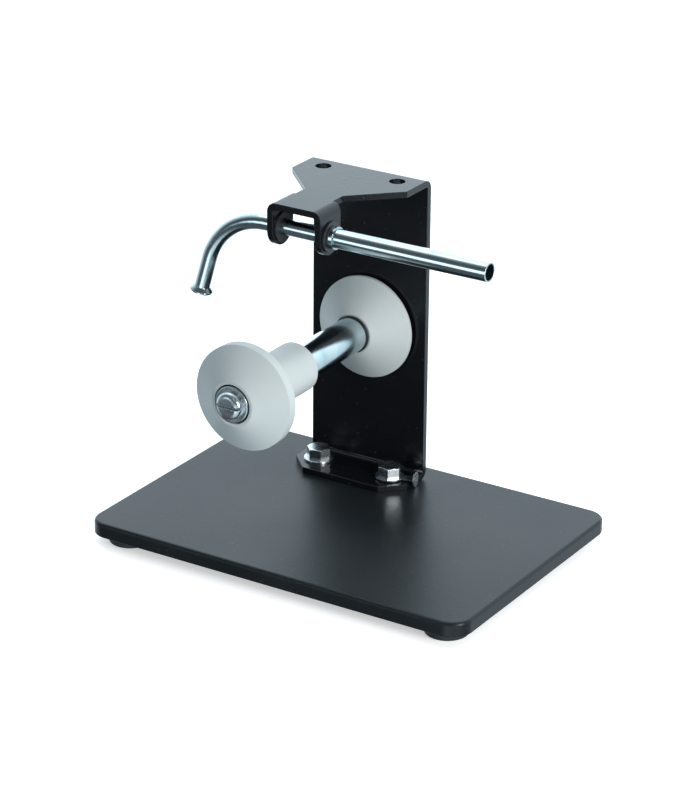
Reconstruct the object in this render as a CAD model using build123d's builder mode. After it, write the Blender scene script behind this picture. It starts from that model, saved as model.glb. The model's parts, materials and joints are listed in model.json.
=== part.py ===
from build123d import *
import math
import os

os.makedirs("parts", exist_ok=True)

# Solder wire reel stand: a heavy plate on rubber feet, one bent sheet bracket, a spool axle
# with a rear cone that stays in place and a push-on front hub, and a swivelling guide tube.
# X runs along the plate's long side, -Y is the side that the axle points to, +Z is up.
# The origin is under the middle of the plate, on the surface that the feet stand on.
# All sizes are in millimetres.

# ------------------------------------------------------------------ driving dimensions
# Base plate
plate_length = 200.0
plate_width = 138.0
plate_thickness = 7.0
plate_corner_radius = 10.0
plate_top_round = 1.5
plate_bottom_round = 0.6

# Rubber feet, their washers and their screws
foot_height = 5.0
foot_radius = 11.0
foot_taper = 0.9
foot_inset_x = 15.0
foot_inset_y = 14.5
foot_web = 1.6
foot_washer_radius = 4.6
foot_washer_thickness = 0.6
foot_screw_radius = 2.0
foot_screw_head_radius = 3.9
foot_screw_head_height = 2.1
foot_screw_grip = 5.0
foot_screw_head_round = 0.7
foot_screw_slot_length = 3.2
foot_screw_slot_width = 0.9
foot_screw_slot_depth = 1.0

# Bracket, bent from one sheet. It is kept as four pieces that meet on flat cuts.
sheet = 3.0
cut_past_bend = 1.4
cut_behind_ears = 1.5
bend_inner_radius = 1.6
bracket_x = -24.0
bracket_width = 62.0
bracket_height = 150.0
bracket_back_inset = 11.5
foot_flange_reach = 27.5
foot_flange_chamfer = 10.0
top_flange_side = 21.5
neck_width = 20.0
neck_reach = 68.0

# Two ears that hang from the neck and carry the guide tube
ear_width = 17.0
ear_bend_inner_radius = 1.2
guide_drop = 13.5

# Holes in the bracket and the frame bolts that stand in two of them
frame_bolt_radius = 3.0
frame_bolt_pitch = 40.0
frame_bolt_from_back = 15.0
bolt_head_flats = 10.0
bolt_head_height = 5.2
bolt_head_top_radius = 4.8
bolt_head_cone_angle = 30.0
left_bolt_turn = 14.0
right_bolt_turn = -8.0
bolt_length = 10.0
top_hole_radius = 3.8
top_hole_pitch = 40.0
top_hole_from_back = 12.0

# Washers under the frame bolts, and the earth tag
bolt_washer_radius = 7.0
bolt_washer_thickness = 1.2
bolt_washer_round = 0.4
lock_washer_radius = 5.6
lock_washer_thickness = 0.5
lock_washer_teeth = 12
lock_washer_notch = 1.2
tag_thickness = 0.8
tag_ring_radius = 6.8
tag_tail_width = 4.6
tag_tail_reach = 13.2
tag_angle = 13.0
tag_eye_radius = 3.6
tag_eye_hole_radius = 1.6

# Axle tube and the long screw that clamps it to the bracket
axle_radius = 8.5
axle_wall = 2.0
axle_length = 114.0
axle_rise = 72.5
axle_end_chamfer = 0.6
tie_screw_radius = 3.0
tie_head_radius = 6.5
tie_head_height = 3.8
tie_head_round = 2.6
tie_slot_width = 1.4
tie_slot_depth = 2.0
end_washer_thickness = 1.4
end_washer_chamfer = 0.3
rear_washer_radius = 7.0
nut_flats = 10.0
nut_thickness = 5.0
tie_end_beyond_nut = 1.6

# Rear cone, its thrust washer and its clip
disc_radius = 25.0
rear_rim_thickness = 1.6
rear_cone_depth = 10.7
rear_nose_wall = 1.2
rear_wall = 2.4
thrust_washer_radius = 13.0
thrust_washer_thickness = 1.6
clip_thickness = 0.9
clip_radial = 1.2
clip_groove_depth = 0.6
clip_mouth_angle = 50.0

# Front hub and the grip ring inside it
hub_wall = 3.5
hub_length = 39.2
hub_rim_thickness = 4.7
hub_cone_depth = 8.7
hub_nose_wall = 1.4
hub_bore_gap = 0.8
hub_end_chamfer = 0.8
hub_nose_past_axle = 0.8
grip_ring_width = 5.0
grip_ring_radial = 1.7
grip_ring_slit = 1.2
grip_ring_from_end = 9.0

# Guide tube with its flared mouth, outlet sleeve, collar and bushes
guide_radius = 3.8
guide_wall = 0.6
guide_bend_radius = 32.5
guide_bend_angle = 74.0
guide_straight_left = 6.2
guide_leg = 14.6
guide_flare = 1.8
guide_flare_length = 1.7
guide_lip_length = 0.8
sleeve_wall = 0.7
sleeve_reach = 82.0
sleeve_overlap = 14.0
collar_wall = 1.5
collar_length = 2.6
bush_wall = 1.0
bush_flange = 2.35
bush_flange_thickness = 0.9

# Clearances
running = 0.05
seat = 0.02
gap = 0.3
screw_play = 0.25

# ------------------------------------------------------------------ places that follow
plate_bottom = foot_height
plate_top = plate_bottom + plate_thickness
bracket_top = plate_top + bracket_height
bracket_back = plate_width / 2 - bracket_back_inset
bracket_face = bracket_back - sheet
bracket_left = bracket_x - bracket_width / 2
bracket_right = bracket_x + bracket_width / 2
bend_outer_radius = bend_inner_radius + sheet
foot_flange_front = bracket_back - foot_flange_reach
top_flange_side_end = bracket_back - top_flange_side
neck_front = bracket_back - neck_reach
neck_back = top_flange_side_end - (bracket_width - neck_width) / 2
ear_bend_outer_radius = ear_bend_inner_radius + sheet
ear_outer = neck_width / 2 + ear_bend_outer_radius
ear_inner = ear_outer - sheet
foot_x = plate_length / 2 - foot_inset_x
foot_y = plate_width / 2 - foot_inset_y
foot_recess = foot_height - foot_web
flange_top = plate_top + sheet
bolt_y = bracket_back - frame_bolt_from_back
bolt_seat = flange_top + bolt_washer_thickness
left_bolt_x = bracket_x - frame_bolt_pitch / 2
right_bolt_x = bracket_x + frame_bolt_pitch / 2
tag_bottom = flange_top + lock_washer_thickness
axle_z = plate_top + axle_rise
axle_front = bracket_face - axle_length
axle_bore = axle_radius - axle_wall
tie_hole_radius = tie_screw_radius + screw_play
thrust_washer_front = bracket_face - thrust_washer_thickness
rear_back = thrust_washer_front - gap
rear_rim_front = rear_back - rear_rim_thickness
rear_nose = rear_rim_front - rear_cone_depth
cone_bore = axle_radius + running
rear_nose_radius = cone_bore + rear_nose_wall
clip_back = rear_nose - gap
clip_front = clip_back - clip_thickness
tie_seat = axle_front - end_washer_thickness
end_washer_radius = axle_radius
nut_front = bracket_back + bolt_washer_thickness
hub_nose = axle_front - hub_nose_past_axle
hub_rim_front = hub_nose + hub_cone_depth
hub_rim_back = hub_rim_front + hub_rim_thickness
hub_end = hub_rim_back + hub_length
hub_radius = axle_radius + hub_wall
hub_bore = axle_radius + hub_bore_gap
grip_outer = axle_radius + running + grip_ring_radial
grip_back = hub_end - grip_ring_from_end
grip_front = grip_back - grip_ring_width
hub_nose_radius = hub_bore + hub_nose_wall
guide_y = neck_front + ear_width / 2
guide_z = bracket_top - guide_drop
guide_bend_start = bracket_x - ear_outer - guide_straight_left
sleeve_start = bracket_x + ear_outer + bush_flange_thickness + gap + collar_length
sleeve_end = bracket_x + ear_outer + sleeve_reach
bush_radius = guide_radius + running + bush_wall
bush_flange_radius = bush_radius + bush_flange
guide_flare_radius = guide_radius + guide_flare
sleeve_radius = guide_radius + sleeve_wall
collar_radius = guide_radius + collar_wall
axle_plane = Plane(origin=(bracket_x, 0, axle_z), x_dir=(0, 1, 0), z_dir=(1, 0, 0))
axle_line = Axis((bracket_x, 0, axle_z), (0, 1, 0))


def save(part, label):
    part.label = label
    export_step(part, f"parts/{label}.step")


def level(x, y, z):
    """Level plane with its origin at a given point."""
    return Plane(origin=(x, y, z), x_dir=(1, 0, 0), z_dir=(0, 0, 1))


def facing_back(y):
    """Plane across the axle at a given Y, whose normal points along +Y."""
    return Plane(origin=(bracket_x, y, axle_z), x_dir=(-1, 0, 0), z_dir=(0, 1, 0))


def across_guide(x):
    """Plane across the straight run of the guide tube at a given X, normal along +X."""
    return Plane(origin=(x, guide_y, guide_z), x_dir=(0, 1, 0), z_dir=(1, 0, 0))


# ------------------------------------------------------------------ base plate
with BuildPart() as base_plate:
    with BuildSketch(Plane.XY.offset(plate_bottom)):
        RectangleRounded(plate_length, plate_width, plate_corner_radius)
    extrude(amount=plate_thickness)
    fillet(base_plate.faces().sort_by(Axis.Z)[-1].edges(), plate_top_round)
    fillet(base_plate.faces().sort_by(Axis.Z)[0].edges(), plate_bottom_round)
    with BuildSketch(Plane.XY.offset(plate_bottom)):
        with Locations((left_bolt_x, bolt_y), (right_bolt_x, bolt_y)):
            Circle(frame_bolt_radius + seat)
    extrude(amount=plate_thickness, mode=Mode.SUBTRACT)
    with BuildSketch(Plane.XY.offset(plate_bottom)):
        with GridLocations(2 * foot_x, 2 * foot_y, 2, 2):
            Circle(foot_screw_radius + seat)
    extrude(amount=foot_screw_grip + gap, mode=Mode.SUBTRACT)
save(base_plate.part, "base_plate")


# ------------------------------------------------------------------ rubber feet
def make_foot(x, y, label):
    with BuildPart() as foot:
        with BuildSketch(level(x, y, 0)):
            Circle(foot_radius - foot_taper)
        with BuildSketch(level(x, y, foot_height)):
            Circle(foot_radius)
        loft()
        fillet(foot.faces().sort_by(Axis.Z)[0].edges(), foot_taper)
        with BuildSketch(level(x, y, 0)):
            Circle(foot_washer_radius + gap)
        extrude(amount=foot_recess, mode=Mode.SUBTRACT)
        with BuildSketch(level(x, y, 0)):
            Circle(foot_screw_radius + screw_play)
        extrude(amount=foot_height, mode=Mode.SUBTRACT)
    save(foot.part, label)


make_foot(-foot_x, -foot_y, "foot_front_left")
make_foot(foot_x, -foot_y, "foot_front_right")
make_foot(-foot_x, foot_y, "foot_back_left")
make_foot(foot_x, foot_y, "foot_back_right")

foot_washer_bottom = foot_recess - foot_washer_thickness
foot_screw_bottom = foot_washer_bottom - foot_screw_head_height

with BuildPart() as foot_washers:
    with BuildSketch(Plane.XY.offset(foot_washer_bottom)):
        with GridLocations(2 * foot_x, 2 * foot_y, 2, 2):
            Circle(foot_washer_radius)
            Circle(foot_screw_radius + screw_play, mode=Mode.SUBTRACT)
    extrude(amount=foot_washer_thickness)
save(foot_washers.part, "foot_washers")

with BuildPart() as foot_screws:
    with BuildSketch(Plane.XY.offset(foot_screw_bottom)):
        with GridLocations(2 * foot_x, 2 * foot_y, 2, 2):
            Circle(foot_screw_head_radius)
    extrude(amount=foot_screw_head_height)
    fillet(foot_screws.edges().group_by(Axis.Z)[0], foot_screw_head_round)
    with BuildSketch(Plane.XY.offset(foot_washer_bottom)):
        with GridLocations(2 * foot_x, 2 * foot_y, 2, 2):
            Circle(foot_screw_radius)
    extrude(amount=plate_bottom + foot_screw_grip - foot_washer_bottom)
    with BuildSketch(Plane.XY.offset(foot_screw_bottom)):
        with GridLocations(2 * foot_x, 2 * foot_y, 2, 2):
            Rectangle(foot_screw_slot_length, foot_screw_slot_width)
            Rectangle(foot_screw_slot_width, foot_screw_slot_length)
    extrude(amount=foot_screw_slot_depth, mode=Mode.SUBTRACT)
save(foot_screws.part, "foot_screws")


# ------------------------------------------------------------------ bracket
# The space that the sheet bends around, used only to cut the bracket.
with BuildPart() as bend_core:
    with BuildSketch(Plane.YZ.offset(bracket_left)):
        with Locations(((neck_front + bracket_face) / 2, (plate_top + bracket_top) / 2)):
            Rectangle(bracket_face - neck_front, bracket_height - 2 * sheet)
    extrude(amount=bracket_width)
    fillet(bend_core.edges().filter_by(Axis.X).group_by(Axis.Y)[-1], bend_inner_radius)

# The U-shaped channel that the neck's sides make as they bend down into two ears.
ear_back = neck_front + ear_width
ear_depth = guide_drop + ear_width / 2
with BuildPart() as ears:
    with BuildSketch(Plane.XY.offset(bracket_top - ear_depth)):
        with Locations((bracket_x, (neck_front + ear_back) / 2)):
            Rectangle(2 * ear_outer, ear_width)
    extrude(amount=ear_depth)
    fillet(ears.edges().filter_by(Axis.Y).group_by(Axis.Z)[-1], ear_bend_outer_radius)
    with BuildSketch(Plane.YZ.offset(bracket_x - ear_outer)):
        with Locations((guide_y, guide_z)):
            Circle(bush_radius + seat)
    extrude(amount=2 * ear_outer, mode=Mode.SUBTRACT)
    # Round lower end, concentric with the tube.
    with BuildSketch(Plane.YZ.offset(bracket_x - ear_outer)):
        with Locations((guide_y, guide_z - ear_width / 2)):
            Rectangle(2 * ear_width, ear_width)
        with Locations((guide_y, guide_z)):
            Circle(ear_width / 2, mode=Mode.SUBTRACT)
    extrude(amount=2 * ear_outer, mode=Mode.SUBTRACT)
with BuildPart() as ear_core:
    with BuildSketch(Plane.XY.offset(bracket_top - ear_depth - sheet)):
        with Locations((bracket_x, (neck_front + ear_back) / 2)):
            Rectangle(2 * ear_inner, ear_width)
    extrude(amount=ear_depth)
    fillet(ear_core.edges().filter_by(Axis.Y).group_by(Axis.Z)[-1], ear_bend_inner_radius)

with BuildPart() as whole_bracket:
    # Side view of the bent sheet: the block outside the bends, less the block inside them.
    with BuildSketch(Plane.YZ.offset(bracket_left)):
        with Locations(((neck_front + bracket_back) / 2, (plate_top + bracket_top) / 2)):
            Rectangle(bracket_back - neck_front, bracket_height)
    extrude(amount=bracket_width)
    fillet(
        whole_bracket.edges().filter_by(Axis.X).group_by(Axis.Y)[-1],
        bend_outer_radius,
    )
    add(bend_core.part, mode=Mode.SUBTRACT)
    # The foot flange is shorter than the top flange, and its two front corners are cut off.
    with BuildSketch(Plane.XY.offset(plate_top)):
        with BuildLine():
            Polyline(
                (bracket_left, neck_front),
                (bracket_left, foot_flange_front + foot_flange_chamfer),
                (bracket_left + foot_flange_chamfer, foot_flange_front),
                (bracket_right - foot_flange_chamfer, foot_flange_front),
                (bracket_right, foot_flange_front + foot_flange_chamfer),
                (bracket_right, neck_front),
                close=True,
            )
        make_face()
    extrude(amount=sheet, mode=Mode.SUBTRACT)
    # The top flange narrows to the neck.
    for side in (-1, 1):
        with BuildSketch(Plane.XY.offset(bracket_top - sheet)):
            with BuildLine():
                Polyline(
                    (bracket_x + side * bracket_width / 2, top_flange_side_end),
                    (bracket_x + side * neck_width / 2, neck_back),
                    (bracket_x + side * neck_width / 2, neck_front),
                    (bracket_x + side * bracket_width / 2, neck_front),
                    close=True,
                )
            make_face()
        extrude(amount=sheet, mode=Mode.SUBTRACT)
    add(ears.part)
    add(ear_core.part, mode=Mode.SUBTRACT)
    # Holes: two in the top flange, two for the frame bolts, one for the tie screw.
    with BuildSketch(Plane.XY.offset(bracket_top - sheet)):
        with Locations((bracket_x, bracket_back - top_hole_from_back)):
            with GridLocations(top_hole_pitch, 0, 2, 1):
                Circle(top_hole_radius)
    extrude(amount=sheet, mode=Mode.SUBTRACT)
    with BuildSketch(Plane.XY.offset(plate_top)):
        with Locations((left_bolt_x, bolt_y), (right_bolt_x, bolt_y)):
            Circle(frame_bolt_radius + screw_play)
    extrude(amount=sheet, mode=Mode.SUBTRACT)
    with BuildSketch(facing_back(bracket_face)):
        Circle(tie_hole_radius)
    extrude(amount=sheet, mode=Mode.SUBTRACT)

foot_cut = Plane.XY.offset(plate_top + bend_outer_radius + cut_past_bend)
top_cut = Plane.XY.offset(bracket_top - bend_outer_radius - cut_past_bend)
neck_cut = Plane(origin=(bracket_x, ear_back + cut_behind_ears, bracket_top), z_dir=(0, 1, 0))
with BuildPart() as bracket_foot:
    add(whole_bracket.part)
    split(bisect_by=foot_cut, keep=Keep.BOTTOM)
save(bracket_foot.part, "bracket_foot")

with BuildPart() as bracket_upright:
    add(whole_bracket.part)
    split(bisect_by=foot_cut, keep=Keep.TOP)
    split(bisect_by=top_cut, keep=Keep.BOTTOM)
    split(bisect_by=neck_cut, keep=Keep.TOP)
save(bracket_upright.part, "bracket_upright")

with BuildPart() as bracket_top_flange:
    add(whole_bracket.part)
    split(bisect_by=top_cut, keep=Keep.TOP)
    split(bisect_by=neck_cut, keep=Keep.TOP)
save(bracket_top_flange.part, "bracket_top_flange")

with BuildPart() as bracket_neck:
    add(whole_bracket.part)
    split(bisect_by=neck_cut, keep=Keep.BOTTOM)
save(bracket_neck.part, "bracket_neck")


# ------------------------------------------------------------------ frame bolts and washers
def hexagon_radius(flats):
    return flats / math.sqrt(3)


bolt_places = ((left_bolt_x, bolt_y), (right_bolt_x, bolt_y))
head_cone_drop = (bolt_head_flats - bolt_head_top_radius) * math.tan(math.radians(bolt_head_cone_angle))
with BuildPart() as frame_bolts:
    for (x, y), turn in zip(bolt_places, (left_bolt_turn, right_bolt_turn)):
        with BuildSketch(level(x, y, bolt_seat)):
            RegularPolygon(hexagon_radius(bolt_head_flats), 6, rotation=turn)
        extrude(amount=bolt_head_height)
        # A cone takes off the top corners of the head.
        with BuildSketch(
            Plane(origin=(x, y, bolt_seat + bolt_head_height), x_dir=(1, 0, 0), z_dir=(0, -1, 0))
        ):
            with BuildLine():
                Polyline(
                    (bolt_head_top_radius, 0),
                    (bolt_head_flats, 0),
                    (bolt_head_flats, -head_cone_drop),
                    close=True,
                )
            make_face()
        revolve(axis=Axis((x, y, 0), (0, 0, 1)), mode=Mode.SUBTRACT)
    with BuildSketch(Plane.XY.offset(bolt_seat - bolt_length)):
        with Locations(*bolt_places):
            Circle(frame_bolt_radius)
    extrude(amount=bolt_length)
save(frame_bolts.part, "frame_bolts")

with BuildPart() as bolt_washer:
    with BuildSketch(Plane.XY.offset(flange_top)):
        with Locations((left_bolt_x, bolt_y)):
            Circle(bolt_washer_radius)
            Circle(frame_bolt_radius + screw_play, mode=Mode.SUBTRACT)
    extrude(amount=bolt_washer_thickness)
    outer_edge = bolt_washer.faces().sort_by(Axis.Z)[-1].edges().sort_by(SortBy.LENGTH)[-1]
    fillet(outer_edge, bolt_washer_round)
save(bolt_washer.part, "bolt_washer")

# The toothed washer bites through the paint, so the tag above it is earthed.
with BuildPart() as lock_washer:
    with BuildSketch(Plane.XY.offset(flange_top)):
        with Locations((right_bolt_x, bolt_y)):
            Circle(lock_washer_radius)
            with PolarLocations(lock_washer_radius, lock_washer_teeth):
                Rectangle(lock_washer_notch, lock_washer_notch, mode=Mode.SUBTRACT)
            Circle(frame_bolt_radius + screw_play, mode=Mode.SUBTRACT)
    extrude(amount=lock_washer_thickness)
save(lock_washer.part, "lock_washer")

tag_plane = Plane(
    origin=(right_bolt_x, bolt_y, tag_bottom),
    x_dir=(math.cos(math.radians(tag_angle)), math.sin(math.radians(tag_angle)), 0),
    z_dir=(0, 0, 1),
)
tag_blade = bolt_seat - tag_bottom
# The eye stands on edge at the end of the tail.
eye_plane = Plane(
    origin=tag_plane.from_local_coords((tag_tail_reach - tag_thickness, 0, tag_blade / 2)),
    x_dir=tag_plane.y_dir,
    z_dir=tag_plane.x_dir,
)
with BuildPart() as earth_tag:
    with BuildSketch(tag_plane):
        Circle(tag_ring_radius)
        with Locations((tag_tail_reach / 2, 0)):
            Rectangle(tag_tail_reach, tag_tail_width)
        Circle(frame_bolt_radius + screw_play, mode=Mode.SUBTRACT)
    extrude(amount=tag_blade)
    with BuildSketch(eye_plane):
        Circle(tag_eye_radius)
    extrude(amount=tag_thickness)
    with BuildSketch(eye_plane):
        with Locations((0, tag_eye_radius - tag_eye_hole_radius - tag_thickness)):
            Circle(tag_eye_hole_radius)
    extrude(amount=tag_thickness, mode=Mode.SUBTRACT)
save(earth_tag.part, "earth_tag")


# ------------------------------------------------------------------ axle
def turned(profile, label):
    """Solid of revolution about the axle from (y, radius) points, saved as its own node."""
    with BuildPart() as solid:
        with BuildSketch(axle_plane):
            with BuildLine():
                Polyline(*profile, close=True)
            make_face()
        revolve(axis=axle_line)
    save(solid.part, label)


clip_groove_back = clip_back + running
clip_groove_front = clip_front - running
turned(
    [
        (axle_front, axle_bore),
        (bracket_face, axle_bore),
        (bracket_face, axle_radius),
        (clip_groove_back, axle_radius),
        (clip_groove_back, axle_radius - clip_groove_depth),
        (clip_groove_front, axle_radius - clip_groove_depth),
        (clip_groove_front, axle_radius),
        (axle_front + axle_end_chamfer, axle_radius),
        (axle_front, axle_radius - axle_end_chamfer),
    ],
    "axle_tube",
)
turned(
    [
        (tie_seat, tie_hole_radius),
        (axle_front, tie_hole_radius),
        (axle_front, end_washer_radius),
        (tie_seat + end_washer_chamfer, end_washer_radius),
        (tie_seat, end_washer_radius - end_washer_chamfer),
    ],
    "axle_end_washer",
)
turned(
    [
        (bracket_back, tie_hole_radius),
        (nut_front, tie_hole_radius),
        (nut_front, rear_washer_radius),
        (bracket_back, rear_washer_radius),
    ],
    "axle_back_washer",
)
with BuildPart() as axle_nut:
    with BuildSketch(facing_back(nut_front)):
        RegularPolygon(hexagon_radius(nut_flats), 6)
        Circle(tie_screw_radius + seat, mode=Mode.SUBTRACT)
    extrude(amount=nut_thickness)
save(axle_nut.part, "axle_nut")

tie_end = nut_front + nut_thickness + tie_end_beyond_nut
with BuildPart() as axle_screw:
    with BuildSketch(facing_back(tie_seat - tie_head_height)):
        Circle(tie_head_radius)
    extrude(amount=tie_head_height)
    fillet(axle_screw.edges().group_by(Axis.Y)[0], tie_head_round)
    with BuildSketch(facing_back(tie_seat)):
        Circle(tie_screw_radius)
    extrude(amount=tie_end - tie_seat)
    with BuildSketch(facing_back(tie_seat - tie_head_height)):
        Rectangle(3 * tie_head_radius, tie_slot_width)
    extrude(amount=tie_slot_depth, mode=Mode.SUBTRACT)
save(axle_screw.part, "axle_screw")


# ------------------------------------------------------------------ rear cone
turned(
    [
        (thrust_washer_front, cone_bore),
        (bracket_face, cone_bore),
        (bracket_face, thrust_washer_radius),
        (thrust_washer_front, thrust_washer_radius),
    ],
    "thrust_washer",
)
turned(
    [
        (rear_nose, cone_bore),
        (rear_back, cone_bore),
        (rear_back, rear_nose_radius + rear_wall),
        (rear_nose + 2 * rear_wall, rear_nose_radius + rear_wall / 2),
        (rear_rim_front, disc_radius - rear_wall),
        (rear_back, disc_radius - rear_wall),
        (rear_back, disc_radius),
        (rear_rim_front, disc_radius),
        (rear_nose, rear_nose_radius),
    ],
    "rear_cone",
)
clip_inner = axle_radius - clip_groove_depth
half_mouth = math.radians(clip_mouth_angle / 2)
with BuildPart() as cone_clip:
    with BuildSketch(facing_back(clip_front)):
        Circle(clip_inner + clip_radial)
        Circle(clip_inner + seat, mode=Mode.SUBTRACT)
        with BuildLine():
            Polyline(
                (0, 0),
                (2 * axle_radius * math.sin(half_mouth), -2 * axle_radius),
                (-2 * axle_radius * math.sin(half_mouth), -2 * axle_radius),
                close=True,
            )
        make_face(mode=Mode.SUBTRACT)
    extrude(amount=clip_thickness)
save(cone_clip.part, "cone_clip")


# ------------------------------------------------------------------ front hub
turned(
    [
        (hub_nose, hub_bore),
        (grip_front - gap, hub_bore),
        (grip_front - gap, grip_outer + running),
        (grip_back + gap, grip_outer + running),
        (grip_back + gap, hub_bore),
        (hub_end, hub_bore),
        (hub_end, hub_radius - hub_end_chamfer),
        (hub_end - hub_end_chamfer, hub_radius),
        (hub_rim_back, hub_radius),
        (hub_rim_back, disc_radius),
        (hub_rim_front, disc_radius),
        (hub_nose, hub_nose_radius),
    ],
    "front_hub",
)
with BuildPart() as grip_ring:
    with BuildSketch(facing_back(grip_front)):
        Circle(grip_outer)
        Circle(axle_radius + running, mode=Mode.SUBTRACT)
        with Locations((0, -grip_outer)):
            Rectangle(grip_ring_slit, 2 * grip_outer - 2 * gap, mode=Mode.SUBTRACT)
    extrude(amount=grip_ring_width)
save(grip_ring.part, "hub_grip_ring")


# ------------------------------------------------------------------ guide tube
bend = math.radians(guide_bend_angle)
leg_start_x = guide_bend_start - guide_bend_radius * math.sin(bend)
leg_start_z = guide_z - guide_bend_radius * (1 - math.cos(bend))
leg_x = -math.cos(bend)
leg_z = -math.sin(bend)
mouth_x = leg_start_x + guide_leg * leg_x
mouth_z = leg_start_z + guide_leg * leg_z
tube_end = sleeve_start + sleeve_overlap
flare_x = mouth_x + guide_flare_length * leg_x
flare_z = mouth_z + guide_flare_length * leg_z


def across_leg(x, z):
    """Plane across the bent-down leg of the guide tube, normal towards its mouth."""
    return Plane(origin=(x, guide_y, z), x_dir=(0, 1, 0), z_dir=(leg_x, 0, leg_z))


with BuildLine() as centreline:
    Line((tube_end, guide_y, guide_z), (guide_bend_start, guide_y, guide_z))
    ThreePointArc(
        (guide_bend_start, guide_y, guide_z),
        (
            guide_bend_start - guide_bend_radius * math.sin(bend / 2),
            guide_y,
            guide_z - guide_bend_radius * (1 - math.cos(bend / 2)),
        ),
        (leg_start_x, guide_y, leg_start_z),
    )
    Line((leg_start_x, guide_y, leg_start_z), (mouth_x, guide_y, mouth_z))


def tube_shape(straight_radius, mouth_radius):
    """Rod along the centreline with a flared end and a short lip, solid right through."""
    with BuildPart() as rod:
        with BuildSketch(across_guide(tube_end)):
            Circle(straight_radius)
        sweep(path=centreline.wires()[0])
        with BuildSketch(across_leg(mouth_x, mouth_z)):
            Circle(straight_radius)
        with BuildSketch(across_leg(flare_x, flare_z)):
            Circle(mouth_radius)
        loft()
        with BuildSketch(across_leg(flare_x, flare_z)):
            Circle(mouth_radius)
        extrude(amount=guide_lip_length)
    return rod.part


guide_core = tube_shape(guide_radius - guide_wall, guide_flare_radius - guide_wall)
with BuildPart() as guide_tube:
    add(tube_shape(guide_radius, guide_flare_radius))
    add(guide_core, mode=Mode.SUBTRACT)
save(guide_tube.part, "guide_tube")


def guide_ring(start, end, inner, outer, label):
    with BuildPart() as ring:
        with BuildSketch(across_guide(start)):
            Circle(outer)
            Circle(inner, mode=Mode.SUBTRACT)
        extrude(amount=end - start)
    save(ring.part, label)


guide_ring(sleeve_start, sleeve_end, guide_radius + seat, sleeve_radius, "outlet_sleeve")
guide_ring(sleeve_start - collar_length, sleeve_start, guide_radius + seat, collar_radius, "guide_collar")


def make_bush(ear_side_x, label):
    """Bush pushed into an ear from the outlet side, its flange against that side of the ear."""
    with BuildPart() as bush:
        with BuildSketch(across_guide(ear_side_x - sheet)):
            Circle(bush_radius)
        extrude(amount=sheet)
        with BuildSketch(across_guide(ear_side_x)):
            Circle(bush_flange_radius)
        extrude(amount=bush_flange_thickness)
        with BuildSketch(across_guide(ear_side_x - sheet)):
            Circle(guide_radius + running)
        extrude(amount=sheet + bush_flange_thickness, mode=Mode.SUBTRACT)
    save(bush.part, label)


make_bush(bracket_x + ear_outer, "ear_bush_right")
make_bush(bracket_x - ear_inner, "ear_bush_left")
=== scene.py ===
# Metres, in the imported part's own frame: +X towards the outlet end of the guide tube,
# -Y where the axle points, +Z up, and the feet on z = 0.

import functools
import json
import math

import bmesh
import bpy
from mathutils import Matrix, Vector


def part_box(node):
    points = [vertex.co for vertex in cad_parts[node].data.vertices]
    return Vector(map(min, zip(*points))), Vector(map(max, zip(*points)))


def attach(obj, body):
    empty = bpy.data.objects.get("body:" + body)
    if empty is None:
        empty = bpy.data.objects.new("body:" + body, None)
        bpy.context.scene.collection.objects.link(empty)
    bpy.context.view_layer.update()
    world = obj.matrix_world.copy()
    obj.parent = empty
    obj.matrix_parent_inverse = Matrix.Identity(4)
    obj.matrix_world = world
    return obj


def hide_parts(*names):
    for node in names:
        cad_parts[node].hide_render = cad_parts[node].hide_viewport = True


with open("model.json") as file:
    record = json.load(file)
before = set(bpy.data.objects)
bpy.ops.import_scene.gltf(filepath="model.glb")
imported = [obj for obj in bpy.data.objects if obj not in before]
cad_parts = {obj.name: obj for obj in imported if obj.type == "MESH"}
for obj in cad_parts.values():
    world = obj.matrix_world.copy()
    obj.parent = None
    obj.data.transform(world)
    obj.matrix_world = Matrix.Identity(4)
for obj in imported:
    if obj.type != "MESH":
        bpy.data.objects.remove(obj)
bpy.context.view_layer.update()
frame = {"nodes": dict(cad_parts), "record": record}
nodes = frame["nodes"]

same_place = 2e-6  # points closer than this are one point, and lie on one plane
weld_distance = 1e-6
sharp_angle = math.radians(30)
edge_samples = 6
fine_relief = 0.0002  # depth of brushing on metal and of grain on plastic
orange_peel = 0.0004  # depth of the ripple in stoved enamel


# ---------------------------------------------------------------- shader helpers
def new_material(name, base, metallic, roughness):
    """A Principled material whose uniform numbers sit on the shader's own sockets."""
    mat = bpy.data.materials.new(name)
    mat.use_nodes = True
    tree = mat.node_tree
    shader = tree.nodes["Principled BSDF"]
    shader.inputs["Base Color"].default_value = (*base, 1.0)
    shader.inputs["Metallic"].default_value = metallic
    shader.inputs["Roughness"].default_value = roughness
    return mat, tree, shader


def noise(tree, scale, detail=4.0, rough=0.55, stretch=(1, 1, 1), offset=(0, 0, 0)):
    """Noise in object space, which is the row frame in metres."""
    coords = tree.nodes.new("ShaderNodeTexCoord")
    mapping = tree.nodes.new("ShaderNodeMapping")
    mapping.inputs["Scale"].default_value = stretch
    mapping.inputs["Location"].default_value = offset
    texture = tree.nodes.new("ShaderNodeTexNoise")
    texture.inputs["Scale"].default_value = scale
    texture.inputs["Detail"].default_value = detail
    texture.inputs["Roughness"].default_value = rough
    tree.links.new(coords.outputs["Object"], mapping.inputs["Vector"])
    tree.links.new(mapping.outputs["Vector"], texture.inputs["Vector"])
    return texture.outputs["Fac"]


def ramp(tree, value, low, high, out_low=0.0, out_high=1.0, interpolation="LINEAR"):
    """Map the range low to high of a value onto another range, clamped."""
    node = tree.nodes.new("ShaderNodeMapRange")
    node.interpolation_type = interpolation
    node.inputs["From Min"].default_value = low
    node.inputs["From Max"].default_value = high
    node.inputs["To Min"].default_value = out_low
    node.inputs["To Max"].default_value = out_high
    tree.links.new(value, node.inputs["Value"])
    return node.outputs["Result"]


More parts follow.
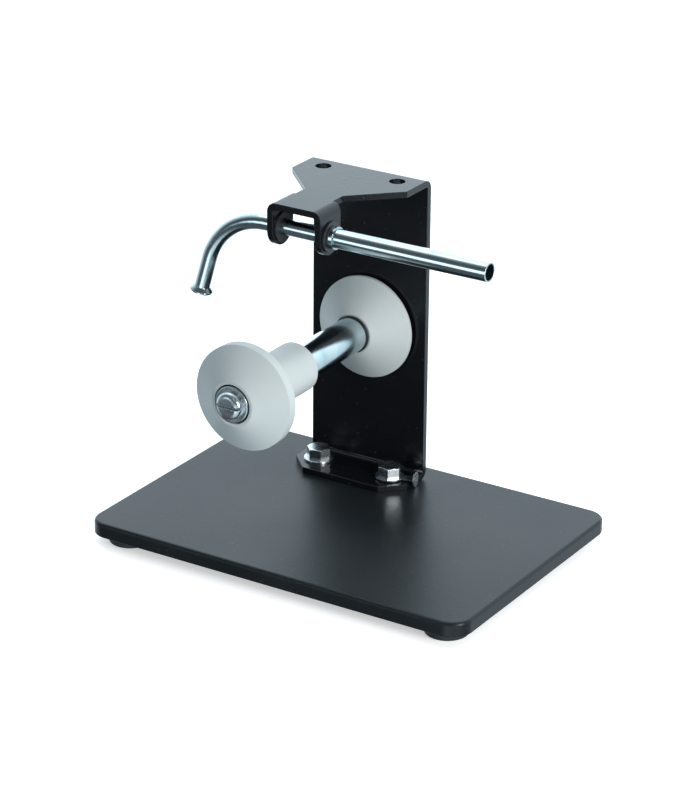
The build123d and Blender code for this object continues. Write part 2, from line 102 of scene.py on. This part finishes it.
def specks(tree, scale, spot, fade):
    """Small scattered spots: 1 inside the spot radius, 0 beyond the fade radius."""
    coords = tree.nodes.new("ShaderNodeTexCoord")
    cells = tree.nodes.new("ShaderNodeTexVoronoi")
    cells.inputs["Scale"].default_value = scale
    tree.links.new(coords.outputs["Object"], cells.inputs["Vector"])
    return ramp(tree, cells.outputs["Distance"], spot, fade, 1.0, 0.0)


def mix_colour(tree, factor, a, b):
    """Colour a where the factor is 0, b where it is 1. Either may be a socket."""
    node = tree.nodes.new("ShaderNodeMix")
    node.data_type = "RGBA"
    tree.links.new(factor, node.inputs["Factor"])
    for socket, colour in ((node.inputs[6], a), (node.inputs[7], b)):
        if isinstance(colour, tuple):
            socket.default_value = (*colour, 1.0)
        else:
            tree.links.new(colour, socket)
    return node.outputs[2]


def tinted(colour, tint):
    """A colour multiplied channel by channel."""
    return tuple(c * t for c, t in zip(colour, tint))


def surface(tree, shader, height, strength, distance, edge_radius):
    """Rounded-looking edges, with a fine relief on top of them."""
    edge = tree.nodes.new("ShaderNodeBevel")
    edge.samples = edge_samples
    edge.inputs["Radius"].default_value = edge_radius
    bump = tree.nodes.new("ShaderNodeBump")
    bump.inputs["Strength"].default_value = strength
    bump.inputs["Distance"].default_value = distance
    tree.links.new(height, bump.inputs["Height"])
    tree.links.new(edge.outputs["Normal"], bump.inputs["Normal"])
    tree.links.new(bump.outputs["Normal"], shader.inputs["Normal"])


# ---------------------------------------------------------------- materials
def black_enamel(name, base, seed, roughness, specular, edge_radius):
    """Stoved enamel: fine orange peel, faint cloudiness and a few grains of dust."""
    dust = (0.09, 0.09, 0.09)
    mat, tree, shader = new_material(name, base, metallic=0.0, roughness=roughness)
    shader.inputs["Specular IOR Level"].default_value = specular
    cloud = noise(tree, scale=14.0, detail=5.0, rough=0.6, offset=(seed, 0, 0))
    tone = mix_colour(tree, ramp(tree, cloud, 0.35, 0.7), base, tinted(base, (1.4, 1.4, 1.4)))
    dusty = mix_colour(tree, specks(tree, scale=260.0, spot=0.035, fade=0.075), tone, dust)
    gloss = ramp(tree, cloud, 0.3, 0.75, roughness - 0.04, roughness + 0.06)
    tree.links.new(dusty, shader.inputs["Base Color"])
    tree.links.new(gloss, shader.inputs["Roughness"])
    ripple = noise(tree, scale=700.0, detail=2.0, rough=0.5)
    surface(tree, shader, ripple, 0.1, orange_peel, edge_radius)
    return mat


def bright_metal(name, base, roughness, stretch, relief, edge_radius):
    """Plated or drawn steel: long fine lines along the tube and faint cloudy staining."""
    mat, tree, shader = new_material(name, base, metallic=1.0, roughness=roughness)
    lines = noise(tree, scale=120.0, detail=3.0, rough=0.6, stretch=stretch)
    cloud = noise(tree, scale=55.0, detail=4.0, rough=0.65)
    stain = tinted(base, (0.74, 0.8, 0.82))
    stained = mix_colour(tree, ramp(tree, cloud, 0.35, 0.68), base, stain)
    gloss = ramp(tree, lines, 0.3, 0.7, roughness * 0.75, roughness * 1.35)
    tree.links.new(stained, shader.inputs["Base Color"])
    tree.links.new(gloss, shader.inputs["Roughness"])
    surface(tree, shader, lines, relief, fine_relief, edge_radius)
    return mat


def moulded_plastic(name, base, roughness, relief, edge_radius):
    """Satin moulded plastic or rubber: fine mould grain and very slight cloudiness."""
    depth = 0.002
    mat, tree, shader = new_material(name, base, metallic=0.0, roughness=roughness)
    shader.inputs["Subsurface Weight"].default_value = 0.05
    shader.inputs["Subsurface Radius"].default_value = (depth, depth, depth)
    cloud = noise(tree, scale=40.0, detail=5.0, rough=0.6)
    worn = tinted(base, (0.93, 0.95, 0.96))
    clouded = mix_colour(tree, ramp(tree, cloud, 0.3, 0.7), base, worn)
    gloss = ramp(tree, cloud, 0.3, 0.7, roughness - 0.06, roughness + 0.08)
    tree.links.new(clouded, shader.inputs["Base Color"])
    tree.links.new(gloss, shader.inputs["Roughness"])
    grain = noise(tree, scale=1500.0, detail=2.0, rough=0.5)
    surface(tree, shader, grain, relief, fine_relief, edge_radius)
    return mat


along_x = (0.6, 30, 30)
along_y = (30, 0.6, 30)
every_way = (1, 1, 1)

# One material for each material slot of the record.
materials = {
    "black_paint": black_enamel(
        "enamel_plate",
        base=(0.007, 0.009, 0.011),
        seed=0.0,
        roughness=0.35,
        specular=0.25,
        edge_radius=0.0006,
    ),
    "bracket_paint": black_enamel(
        "enamel_bracket",
        base=(0.003, 0.0036, 0.005),
        seed=3.0,
        roughness=0.24,
        specular=0.36,
        edge_radius=0.0005,
    ),
    "spring_black": black_enamel(
        "spring_black",
        base=(0.012, 0.012, 0.012),
        seed=7.0,
        roughness=0.4,
        specular=0.5,
        edge_radius=0.0002,
    ),
    "zinc_plate": bright_metal(
        "zinc_plate",
        base=(0.60, 0.63, 0.64),
        roughness=0.26,
        stretch=every_way,
        relief=0.08,
        edge_radius=0.0003,
    ),
    "tinned_brass": bright_metal(
        "tinned_tag",
        base=(0.50, 0.53, 0.53),
        roughness=0.3,
        stretch=every_way,
        relief=0.12,
        edge_radius=0.0002,
    ),
    "bright_steel": bright_metal(
        "bright_steel",
        base=(0.58, 0.68, 0.70),
        roughness=0.16,
        stretch=along_y,
        relief=0.05,
        edge_radius=0.0003,
    ),
    "guide_plate": bright_metal(
        "guide_plate",
        base=(0.56, 0.64, 0.66),
        roughness=0.16,
        stretch=along_x,
        relief=0.05,
        edge_radius=0.0002,
    ),
    "grey_plastic": moulded_plastic(
        "grey_plastic",
        base=(0.505, 0.538, 0.53),
        roughness=0.45,
        relief=0.1,
        edge_radius=0.0004,
    ),
    "bush_plastic": moulded_plastic(
        "bush_plastic",
        base=(0.016, 0.018, 0.02),
        roughness=0.34,
        relief=0.1,
        edge_radius=0.0002,
    ),
    "rubber_black": moulded_plastic(
        "foot_rubber",
        base=(0.012, 0.012, 0.013),
        roughness=0.62,
        relief=0.35,
        edge_radius=0.0004,
    ),
}
slot_of = {row["node"]: row["material_slot"] for row in frame["record"]["subparts"]}


# ---------------------------------------------------------------- shading of the nodes
def crisp(obj):
    """Flat faces shade flat, curved ones smooth, and edges over the sharp angle stay sharp."""
    weld = obj.modifiers.new("weld", "WELD")
    weld.merge_threshold = weld_distance
    split = obj.modifiers.new("split", "EDGE_SPLIT")
    split.split_angle = sharp_angle
    split.use_edge_sharp = False
    flat = obj.modifiers.new("flat", "WEIGHTED_NORMAL")
    flat.weight = 100  # the largest face at a corner decides its normal


for name, node in nodes.items():
    node.data.materials.clear()
    node.data.materials.append(materials[slot_of[name]])
    crisp(node)


# ---------------------------------------------------------------- bracket in one skin
# The bracket is one bent sheet. Its four CAD pieces are joined here, so no cut shows.
bracket_nodes = ("bracket_foot", "bracket_upright", "bracket_top_flange", "bracket_neck")
upright_low, upright_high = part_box("bracket_upright")
neck_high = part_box("bracket_neck")[1]
y_axis, z_axis = 1, 2
cuts = (
    (z_axis, upright_low[z_axis]),
    (z_axis, upright_high[z_axis]),
    (y_axis, neck_high[y_axis]),
)


def on_a_cut(face):
    """True for a face that lies flat on one of the planes where the pieces meet."""
    return any(all(abs(v.co[axis] - at) < same_place for v in face.verts) for axis, at in cuts)


skin = bmesh.new()
for name in bracket_nodes:
    skin.from_mesh(nodes[name].data)
bmesh.ops.remove_doubles(skin, verts=skin.verts, dist=same_place)
bmesh.ops.delete(skin, geom=[face for face in skin.faces if on_a_cut(face)], context="FACES")
bracket_mesh = bpy.data.meshes.new("bracket_sheet")
skin.to_mesh(bracket_mesh)
skin.free()
for face in bracket_mesh.polygons:
    face.use_smooth = True
bracket = bpy.data.objects.new("bracket_sheet", bracket_mesh)
bpy.context.scene.collection.objects.link(bracket)
bracket_mesh.materials.append(materials["bracket_paint"])
crisp(bracket)
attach(bracket, "frame")
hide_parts(*bracket_nodes)


# ---------------------------------------------------------------- floor
floor_half_side = 6.0
floor_drop = 0.0002  # keeps the floor clear of the soles of the feet
floor_mesh = bpy.data.meshes.new("floor")
grid = bmesh.new()
bmesh.ops.create_grid(grid, x_segments=1, y_segments=1, size=floor_half_side)
grid.to_mesh(floor_mesh)
grid.free()
floor = bpy.data.objects.new("floor", floor_mesh)
bpy.context.scene.collection.objects.link(floor)
floor.location.z = -floor_drop
floor_mat, _, floor_shader = new_material(
    "floor_pale", (0.88, 0.88, 0.88), metallic=0.0, roughness=0.9
)
floor_shader.inputs["Emission Color"].default_value = (1.0, 1.0, 1.0, 1.0)
floor_shader.inputs["Emission Strength"].default_value = 0.5
floor_mesh.materials.append(floor_mat)
floor.visible_glossy = False
floor.visible_diffuse = False


# ---------------------------------------------------------------- studio
# It is bright behind the object and dark in front of it, so that level black surfaces go
# grey, upright ones stay black, and the tubes get light and dark bands.
world = bpy.data.worlds.new("studio")
bpy.context.scene.world = world
world.use_nodes = True
sky = world.node_tree
direction = sky.nodes.new("ShaderNodeTexCoord")

# Each lobe: where it lies, the cosines at which it starts and is full, and its least and
# greatest strength.
sky_lobes = (
    ((-0.30, 0.86, 0.30), -0.1, 0.95, 0.13, 2.1),  # wall behind, seen in the level faces
    ((-0.95, -0.05, -0.25), 0.82, 0.95, 0.0, 0.5),  # left edge of the bent tube
    ((-0.47, -0.88, 0.02), 0.970, 0.990, 0.0, 2.5),  # streak along the outlet sleeve
    ((0.08, -0.917, -0.39), 0.94, 0.985, 0.0, 1.5),  # streak down the bent tube
    ((0.50, -0.60, -0.62), 0.60, 0.95, 0.0, 1.0),  # lower right side of the discs
)


def sky_lobe(towards, start, full, least, most):
    """Strength that rises as a direction turns towards the given one."""
    facing = sky.nodes.new("ShaderNodeVectorMath")
    facing.operation = "DOT_PRODUCT"
    facing.inputs[1].default_value = Vector(towards).normalized()
    sky.links.new(direction.outputs["Generated"], facing.inputs[0])
    return ramp(sky, facing.outputs["Value"], start, full, least, most, "SMOOTHSTEP")


def added(a, b):
    """The sum of two sockets."""
    node = sky.nodes.new("ShaderNodeMath")
    node.operation = "ADD"
    sky.links.new(a, node.inputs[0])
    sky.links.new(b, node.inputs[1])
    return node.outputs["Value"]


background = sky.nodes["Background"]
background.inputs["Color"].default_value = (0.80, 0.94, 1.03, 1.0)
strength = functools.reduce(added, (sky_lobe(*lobe) for lobe in sky_lobes))
sky.links.new(strength, background.inputs["Strength"])


def softbox(name, place, target, size, power):
    """A white rectangular lamp that faces the target."""
    data = bpy.data.lights.new(name, "AREA")
    data.shape = "RECTANGLE"
    data.size, data.size_y = size
    data.energy = power
    lamp = bpy.data.objects.new(name, data)
    lamp.location = place
    lamp.rotation_mode = "QUATERNION"
    lamp.rotation_quaternion = (Vector(target) - Vector(place)).to_track_quat("-Z", "Y")
    bpy.context.scene.collection.objects.link(lamp)


light_target = (0.0, 0.0, 0.08)
softbox("key", (1.25, -0.4, 0.42), light_target, size=(0.4, 0.6), power=19.0)
softbox("top", (-0.45, 0.1, 1.35), light_target, size=(0.6, 0.8), power=1.8)
softbox("front", (0.35, -1.1, 1.05), light_target, size=(0.2, 0.1), power=0.7)


# ---------------------------------------------------------------- camera
# The place, turn and lens that were fitted to the photo's view of the plate and bracket.
camera_place = (0.70562, -1.13220, 0.63721)
yaw = math.radians(31.932)
pitch = math.radians(23.005)
roll = math.radians(0.513)

camera_data = bpy.data.cameras.new("camera")
camera_data.sensor_width = 36.0
camera_data.lens = 143.137
camera = bpy.data.objects.new("camera", camera_data)
bpy.context.scene.collection.objects.link(camera)
bpy.context.scene.camera = camera

level = Vector((math.cos(yaw), math.sin(yaw), 0.0))
forward = Vector((-math.sin(yaw), math.cos(yaw), 0.0)) * math.cos(pitch)
forward.z = -math.sin(pitch)
upright = level.cross(forward)
right = level * math.cos(roll) + upright * math.sin(roll)
up = upright * math.cos(roll) - level * math.sin(roll)
turn = Matrix((right, up, -forward)).transposed().to_4x4()
camera.matrix_world = Matrix.Translation(camera_place) @ turn

bpy.context.scene.view_settings.view_transform = "Standard"
